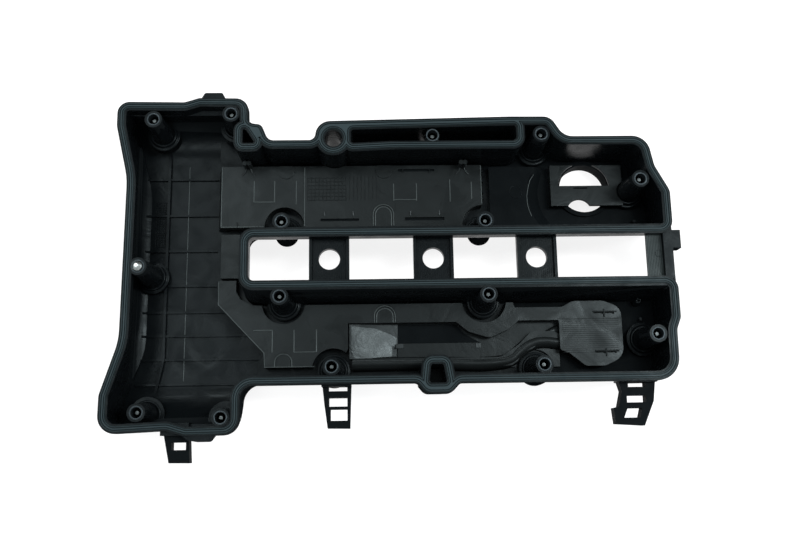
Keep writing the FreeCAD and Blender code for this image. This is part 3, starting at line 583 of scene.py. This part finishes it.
def upper_marks():
    """Witness lines, grille, pegs and dark slots of the upper baffle."""
    depth = BAFFLE_TOP
    lines = [
        upright(-138.0, 51.0, 68.0, depth), upright(-122.0, 51.0, 68.0, depth),
        level(51.0, -138.0, -122.0, depth), upright(-105.0, 49.0, 68.0, depth),
        upright(-98.5, 31.0, 79.0, depth), upright(-28.5, 51.0, 65.0, depth),
        upright(-10.5, 51.0, 65.0, depth), level(52.0, -28.5, -10.5, depth),
        upright(16.0, 50.0, 68.0, depth), upright(33.0, 52.0, 66.0, depth),
        arch_line(-36.8, 31.0, 16.0, 17.0, depth), arch_line(-36.8, 31.0, 12.6, 15.2, depth),
        level(31.0, -163.0, -130.0, depth), upright(-163.2, 31.0, 79.5, depth),
        upright(40.8, 48.0, 79.5, depth),
    ]
    # The lines get a painted highlight in their lighter colour
    beads("upper_baffle_lines", lines, WITNESS_RADIUS, WITNESS_HIGHLIGHT)
    fine = [upright(-96.0 + 3.0 * index, 52.0, 71.0, depth) for index in range(19)]
    fine += [level(52.0 + 3.0 * index, -96.0, -66.0, depth) for index in range(7)]
    beads("upper_baffle_grille", fine, GRILLE_RADIUS, BAFFLE)
    pegs = [[(x, 39.0, depth), (x, 42.5, depth - 0.3)] for x in (-83.0, -60.5, -15.5, 7.0)]
    pegs.append([(-150.5, 31.0, depth), (-150.5, 34.5, depth - 1.0)])
    pegs += [[(x, 77.2, depth), (x, 74.0, depth - 0.3)] for x in (-21.0, 0.0)]
    beads("upper_baffle_pegs", pegs, 0.5, POLISHED)
    work = bmesh.new()
    for y in (75.0, 67.0, 58.0, 53.0):
        add_box(work, 40.6, y - 1.0, 42.6, y + 1.0, BAFFLE_TOP + 0.5, ROOF)
    for plan in ((-86.0, 35.1, -56.0, 36.9), (-20.0, 35.1, 11.0, 37.3), (-25.0, 75.1, 4.0, 76.9)):
        add_box(work, *plan, BAFFLE_TOP + 1.4, BAFFLE_TOP + 2.4)
    keep("upper_baffle_marks", work, DULL)


def studs():
    """Two studs that hold the upper baffle down at the wall, each with a split foot."""
    lines = []
    feet = []
    for x, y in STUD_PLACES:
        for side in (-1, 1):
            half = x + side * STUD_SPLIT
            lines.append([(half, y, STUD_TOP), (half, y, BAFFLE_TOP)])
            feet.append([(x + side * 1.5, y - 1.0, BAFFLE_TOP - 1.5),
                         (x + side * 2.5, y - 4.0, BAFFLE_TOP - 0.6),
                         (x + side * 5.0, y - 7.0, BAFFLE_TOP)])
    beads("baffle_studs", lines, 1.9, BAFFLE)
    beads("baffle_stud_feet", feet, 0.55, POLISHED)


def lower_marks():
    """Witness lines, arches and guide pegs of the lower baffle, and lines on the separator's end."""
    depth = BAFFLE_TOP
    lines = [upright(x, -67.0, -50.0, depth) for x in (-122.5, -106.0, -89.0)]
    lines += [level(-50.0, -137.0, -122.5, depth), level(-67.0, -106.0, -89.0, depth)]
    lines += [arch_line(-36.8, -45.4, 16.0, 13.0, depth), arch_line(-36.8, -45.4, 12.6, 11.0, depth),
              arch_line(-114.0, -78.3, 13.0, 10.0, depth)]
    lines.append([(-163.8, -12.0, depth), (-163.8, -30.0, depth), (-128.6, -67.4, depth),
                  (-128.0, -78.2, depth), (-90.0, -78.2, depth)])
    # The lines get a painted highlight in their lighter colour
    beads("lower_baffle_lines", lines, WITNESS_RADIUS, WITNESS_HIGHLIGHT)
    pegs = [[(123.5, y, depth), (142.0, y, depth)] for y in (-39.0, -69.4)]
    pegs += [[(132.2, y - 3.0, depth - 0.4), (132.2, y + 3.0, depth - 0.4)] for y in (-40.1, -70.5)]
    beads("lower_baffle_pegs", pegs, 0.6, BAFFLE)
    fine = [level(-44.6 - 1.6 * index, 99.0, 143.0, depth) for index in range(17)]
    beads("separator_texture", fine, TEXTURE_RADIUS, BAFFLE)


def ridge():
    """Rounded ridge along the separator channel."""
    path = [(-62, -76), (-30, -76), (10, -76.2), (48, -76.5), (60, -74), (67, -68), (75, -62.5),
            (84, -60.5), (97, -61.5)]
    axis_depth = 40.4
    curve = rod_curve("separator_ridge", 5.4, 6)
    spline = curve.splines.new("BEZIER")
    spline.bezier_points.add(len(path) - 1)
    for point, (x, y) in zip(spline.bezier_points, path):
        point.co = (x * MM, y * MM, at(axis_depth) * MM)
        point.handle_left_type = "AUTO"
        point.handle_right_type = "AUTO"
    belong(bpy.data.objects.new("separator_ridge", curve), BAFFLE)


def ramp_depth(x):
    """Depth of the sloping floor at the left end of the channel."""
    left_end = -64.0
    length = 37.0
    high_end = ROOF - 9.0
    fall = 5.0
    return high_end + fall * (x - left_end) / length


def inlet_cone():
    """Half cone that leads from the channel into the separator's end."""
    work = bmesh.new()
    count = 10
    mouth_x = 96.9
    tip = work.verts.new((84.5 * MM, -54.0 * MM, at(40.2) * MM))
    ring = []
    for index in range(count + 1):
        angle = math.pi * index / count
        ring.append(work.verts.new((mouth_x * MM, (-52.0 + 5.0 * math.cos(angle)) * MM,
                                    at(41.0 - 6.5 * math.sin(angle)) * MM)))
    for before, after in zip(ring, ring[1:]):
        work.faces.new((tip, before, after))
    work.faces.new(list(reversed(ring)))
    work.faces.new((tip, ring[-1], ring[0]))
    keep("inlet_cone", work, POLISHED, smooth=True)


def channel_marks():
    """Polished facet, a dark dull sheet of painted shade where the channel's recess lies, and small steps
    in the separator channel.
    """
    work = bmesh.new()
    facet = [(-62.5, -47.5), (-62.5, -66.0), (-60.0, -72.0), (-34.0, -72.2), (-31.5, -70.0),
             (-31.5, -62.8), (-28.0, -62.8), (-28.0, -56.5), (-33.0, -53.5), (-45.0, -49.0)]
    add_plate(work, [(x, y, ramp_depth(x) - 0.15) for x, y in facet], 1.0)
    keep("ramp_facet", work, POLISHED)
    work = bmesh.new()
    # Dark dull sheet on the channel floor: painted shade of the recess
    shade_sheet = [(-27.0, -46.2, 40.6), (-27.0, -60.6, 39.9), (36.5, -60.6, 39.9), (25.0, -54.0, 40.5),
              (18.0, -46.2, 40.8)]
    add_plate(work, shade_sheet, 1.5)
    keep("channel_shade_sheet", work, DULL)
    work = bmesh.new()
    add_box(work, -28.6, -64.6, -22.8, -61.4, 37.2, 38.5)
    add_box(work, 33.0, -65.0, 36.8, -61.6, 37.0, 38.5)
    keep("channel_steps", work, POLISHED)


# Small mouldings on the roof and the webs

def collar_steps():
    """Second step and rounded edge on the collar at the foot of each boss."""
    work = bmesh.new()
    for x, y, foot in BOSSES:
        top = foot - COLLAR_HEIGHT
        profile = [(COLLAR_RADIUS + out, top + down) for out, down in COLLAR_EDGE]
        profile.append((COLLAR_BORE, top - COLLAR_STEP))
        lathe(work, x, y, profile)
    keep("collar_steps", work, COVER, smooth=True)


def web_lines(x):
    """Fine mould lines across a web, broken round its hole."""
    lines = []
    spacing = 1.5
    count = int(2 * WEB_HALF / spacing)
    for index in range(count + 1):
        offset = -WEB_HALF + 2 * WEB_HALF * index / count
        if abs(offset) < WEB_HOLE_RADIUS:
            gap = math.sqrt(WEB_HOLE_RADIUS ** 2 - offset ** 2)
            lines.append(upright(x + offset, WEB_LOW, -gap, WEB_TOP))
            lines.append(upright(x + offset, gap, WEB_HIGH, WEB_TOP))
        else:
            lines.append(upright(x + offset, WEB_LOW, WEB_HIGH, WEB_TOP))
    return lines


def roof_marks():
    """Grille, fine lines, ring, pins and peg on the roofs, lines on the webs and the guard's groove."""
    fine = []
    spacing = 1.9
    for low, high in ((20.0, 43.5), (46.5, 57.0)):
        fine += [upright(-218.2 + spacing * index, low, high, TIMING_ROOF) for index in range(6)]
        rows = int((high - low) / spacing)
        fine += [level(low + spacing * index, -218.4, -208.7, TIMING_ROOF) for index in range(rows + 1)]
    beads("roof_grille", fine, GRILLE_RADIUS, COVER)
    lines = [upright(-192.6, -100.0, 86.0, TIMING_ROOF)]
    bowl_edge = ((84.0, 73.5), (80.6, 68.0), (79.0, 62.0), (77.9, 56.0), (78.0, 50.0), (79.2, 44.0),
                 (81.0, 39.0))
    lines.append([(x, y, DECK) for x, y in bowl_edge])
    # The fine line and the bowl's edge get a painted highlight in their lighter colour
    beads("roof_lines", lines, 0.3, WITNESS_HIGHLIGHT)
    webs = []
    for step in (-1, 0, 1):
        webs += web_lines(CYLINDER_PITCH * step)
    webs += [upright(162.0 + 1.2 * index, WEB_LOW, WEB_HIGH, END_WEB_TOP) for index in range(9)]
    webs.append(ring_line(170.0, 1.0, 2.6, 20, END_WEB_TOP))
    beads("web_lines", webs, WEB_LINE_RADIUS, COVER)
    beads("deck_ring", [ring_line(69.0, 59.0, 5.0, 24, DECK)], 0.25, COVER)
    pins = [[(x, y, ROOF), (x, y, ROOF - height)] for x, y, height in
            ((175.0, -28.5, 6.0), (163.0, -44.0, 4.0), (170.0, -69.5, 4.0), (163.0, 34.5, 5.0))]
    beads("roof_pins", pins, 1.3, COVER)
    work = bmesh.new()
    peg = ((3.4, 0.0), (2.8, 3.0), (2.6, 9.0), (2.0, 9.8), (0.6, 10.0))
    lathe(work, 160.5, -30.5, [(radius, ROOF - height) for radius, height in peg])
    keep("roof_peg", work, COVER, smooth=True)
    work = bmesh.new()
    add_box(work, 115.0, 60.4, 126.0, 61.6, 36.0, 36.6)
    keep("guard_groove", work, DULL)


upper_marks()
studs()
lower_marks()
ridge()
channel_marks()
inlet_cone()
collar_steps()
roof_marks()


# Floor, lights and camera

def background_ray(nodes, links):
    """One where the camera, a reflection or a view through glass looks."""
    path = nodes.new("ShaderNodeLightPath")
    first = nodes.new("ShaderNodeMath")
    first.operation = "MAXIMUM"
    second = nodes.new("ShaderNodeMath")
    second.operation = "MAXIMUM"
    links.new(path.outputs["Is Camera Ray"], first.inputs[0])
    links.new(path.outputs["Is Glossy Ray"], first.inputs[1])
    links.new(first.outputs[0], second.inputs[0])
    links.new(path.outputs["Is Transmission Ray"], second.inputs[1])
    return second.outputs[0]


def floor_material():
    """Pale floor that the camera and reflections see as white, with the shadow on it."""
    material = bpy.data.materials.new("floor")
    material.use_nodes = True
    nodes = material.node_tree.nodes
    links = material.node_tree.links
    nodes.clear()
    output = nodes.new("ShaderNodeOutputMaterial")
    mix = nodes.new("ShaderNodeMixShader")
    matt = nodes.new("ShaderNodeBsdfDiffuse")
    matt.inputs["Color"].default_value = FLOOR_COLOUR
    glow = nodes.new("ShaderNodeEmission")
    glow.inputs["Strength"].default_value = FLOOR_GLOW
    lit = nodes.new("ShaderNodeBsdfDiffuse")
    lit.inputs["Color"].default_value = FLOOR_LIT_COLOUR
    white = nodes.new("ShaderNodeAddShader")
    links.new(glow.outputs[0], white.inputs[0])
    links.new(lit.outputs[0], white.inputs[1])
    links.new(background_ray(nodes, links), mix.inputs[0])
    links.new(matt.outputs[0], mix.inputs[1])
    links.new(white.outputs[0], mix.inputs[2])
    links.new(mix.outputs[0], output.inputs["Surface"])
    return material


def stand():
    """Plain floor under the cover."""
    clearance = 0.2 * MM
    bpy.ops.mesh.primitive_plane_add(size=6.0, location=(0, 0, cad_low.z - clearance))
    floor = bpy.context.object
    floor.name = "floor"
    set_material(floor, floor_material())


def lamp(name, place, target, size, power):
    """Soft rectangular lamp aimed at a point, with its lengths in metres."""
    data = bpy.data.lights.new(name, "AREA")
    data.shape = "RECTANGLE"
    data.size = size[0]
    data.size_y = size[1]
    data.energy = power
    obj = bpy.data.objects.new(name, data)
    bpy.context.scene.collection.objects.link(obj)
    obj.location = place
    direction = Vector(target) - Vector(place)
    obj.rotation_mode = "QUATERNION"
    obj.rotation_quaternion = direction.to_track_quat("-Z", "Y")


def world():
    """Even cool light, white to the camera."""
    made = bpy.data.worlds.new("studio")
    made.use_nodes = True
    nodes = made.node_tree.nodes
    links = made.node_tree.links
    nodes.clear()
    output = nodes.new("ShaderNodeOutputWorld")
    mix = nodes.new("ShaderNodeMixShader")
    soft = nodes.new("ShaderNodeBackground")
    soft.inputs["Color"].default_value = WORLD_COLOUR
    soft.inputs["Strength"].default_value = WORLD_STRENGTH
    white = nodes.new("ShaderNodeBackground")
    white.inputs["Color"].default_value = WHITE
    links.new(background_ray(nodes, links), mix.inputs[0])
    links.new(soft.outputs[0], mix.inputs[1])
    links.new(white.outputs[0], mix.inputs[2])
    links.new(mix.outputs[0], output.inputs["Surface"])
    bpy.context.scene.world = made


def camera():
    """Camera at the photograph's viewing angle."""
    tilt = math.radians(CAMERA_TILT)
    roll = math.radians(CAMERA_ROLL)
    turn = Matrix.Rotation(math.radians(CAMERA_YAW), 3, "Y")
    forward = turn @ Vector((0, math.sin(tilt), -math.cos(tilt)))
    right = turn @ Vector((1, 0, 0))
    up = turn @ Vector((0, math.cos(tilt), math.sin(tilt)))
    rolled_right = math.cos(roll) * right - math.sin(roll) * up
    rolled_up = math.sin(roll) * right + math.cos(roll) * up
    data = bpy.data.cameras.new("camera")
    data.sensor_width = SENSOR_WIDTH
    data.lens = FOCAL_PIXELS / IMAGE_WIDTH * SENSOR_WIDTH
    data.clip_start = 0.01
    data.clip_end = 20.0
    obj = bpy.data.objects.new("camera", data)
    bpy.context.scene.collection.objects.link(obj)
    rows = [[rolled_right[i], rolled_up[i], -forward[i], CAMERA_PLACE[i] * MM] for i in range(3)]
    obj.matrix_world = Matrix(rows + [[0, 0, 0, 1]])
    bpy.context.scene.camera = obj


stand()
world()
lamp("left_box", (-0.60, 0.42, 1.50), (-0.1, 0, 0), (0.90, 0.80), 11.5)
lamp("right_box", (0.42, 0.17, 1.50), (0.05, -0.05, 0), (0.32, 0.28), 3.4)
lamp("end_box", (0.76, 0.20, 1.50), (0.15, 0.02, 0), (0.16, 0.54), 12.0)
lamp("front_box", (-0.42, -0.98, 1.10), (-0.1, 0, 0), (0.70, 0.50), 8.0)
lamp("low_box", (-0.50, -0.02, 1.50), (-0.18, -0.09, 0), (0.30, 0.14), 1.2)
lamp("right_strip", (1.15, 0.10, 0.95), (0, 0, 0), (0.14, 1.60), 16.0)
lamp("back_strip", (-0.20, 1.20, 1.00), (0, 0, 0), (0.90, 0.20), 9.0)
camera()
bpy.context.scene.view_settings.view_transform = "Standard"
